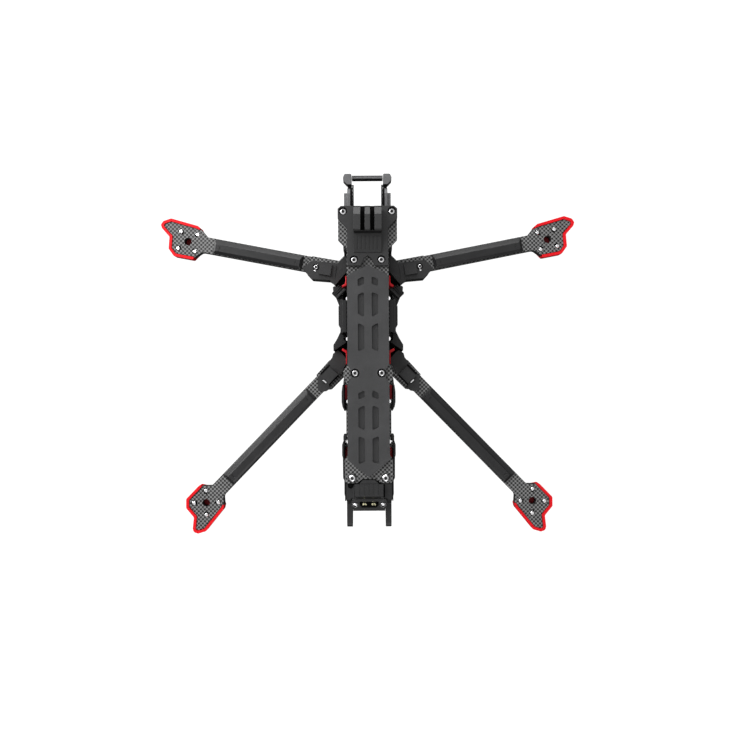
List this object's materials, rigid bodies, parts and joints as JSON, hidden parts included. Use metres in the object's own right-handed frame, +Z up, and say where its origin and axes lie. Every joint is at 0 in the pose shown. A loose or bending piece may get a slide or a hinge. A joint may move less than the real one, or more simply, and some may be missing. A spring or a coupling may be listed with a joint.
{
  "type": "fpv racing drone",
  "caption": "Bare FPV quadcopter frame: carbon arms and plates on spacers, arm clamps, bumper feet, battery pad, camera cage, action camera mount and a tail power socket.",
  "frame": {"origin": "middle of the frame's box, on the ground under the four bumper pads", "axes": "+X to the right side, +Y towards the nose, +Z up"},
  "size_m": [0.313, 0.2646, 0.054],
  "materials": {
    "carbon": "satin 3k twill carbon fibre laminate, cut edges black",
    "moulded_nylon": "black moulded glass-filled nylon, fine grain",
    "black_tpu": "black printed TPU, matt, fine layer lines",
    "red_tpu": "red printed TPU, satin, fine layer lines",
    "grey_silicone": "dark grey silicone pad, matt, moulded recesses",
    "grey_aluminium": "gunmetal anodised aluminium, bead blasted",
    "black_aluminium": "black anodised turned spacer",
    "steel": "bright zinc plated socket screws",
    "brass": "gold plated brass contacts"
  },
  "bodies": {
    "root": {"antenna_lug_left": "moulded_nylon", "antenna_lug_right": "moulded_nylon", "arm_clamp_front_left": "moulded_nylon", "arm_clamp_front_right": "moulded_nylon", "arm_clamp_rear_left": "moulded_nylon", "arm_clamp_rear_right": "moulded_nylon", "arm_cover_front_left": "moulded_nylon", "arm_cover_front_right": "moulded_nylon", "arm_cover_rear_left": "moulded_nylon", "arm_cover_rear_right": "moulded_nylon", "arm_front_left": "carbon", "arm_front_right": "carbon", "arm_rear_left": "carbon", "arm_rear_right": "carbon", "battery_pad": "grey_silicone", "bottom_plate": "carbon", "camera_mount": "black_tpu", "camera_plate_left": "grey_aluminium", "camera_plate_right": "grey_aluminium", "connector_screw_left": "steel", "connector_screw_right": "steel", "foot_pad_front_left": "red_tpu", "foot_pad_front_right": "red_tpu", "foot_pad_rear_left": "red_tpu", "foot_pad_rear_right": "red_tpu", "mid_plate": "carbon", "mid_side_panel_left": "moulded_nylon", "mid_side_panel_right": "moulded_nylon", "nose_bar": "grey_aluminium", "nose_bumper_left": "moulded_nylon", "nose_bumper_right": "moulded_nylon", "power_connector": "moulded_nylon", "power_contact_left": "brass", "power_contact_right": "brass", "rear_housing": "moulded_nylon", "rear_side_panel_left": "moulded_nylon", "rear_side_panel_right": "moulded_nylon", "side_panel_left": "moulded_nylon", "side_panel_right": "moulded_nylon", "standoff_front_left": "black_aluminium", "standoff_front_right": "black_aluminium", "standoff_middle_left": "black_aluminium", "standoff_middle_right": "black_aluminium", "standoff_nose_left": "black_aluminium", "standoff_nose_right": "black_aluminium", "standoff_tail_left": "black_aluminium", "standoff_tail_right": "black_aluminium", "top_plate": "carbon", "top_screw_front_left": "steel", "top_screw_front_right": "steel", "top_screw_middle_left": "steel", "top_screw_middle_right": "steel", "top_screw_nose_left": "steel", "top_screw_nose_right": "steel", "top_screw_tail_left": "steel", "top_screw_tail_right": "steel", "wire_grommet_front_left": "red_tpu", "wire_grommet_front_right": "red_tpu", "wire_grommet_rear_left": "red_tpu", "wire_grommet_rear_right": "red_tpu"}
  },
  "joints": []
}
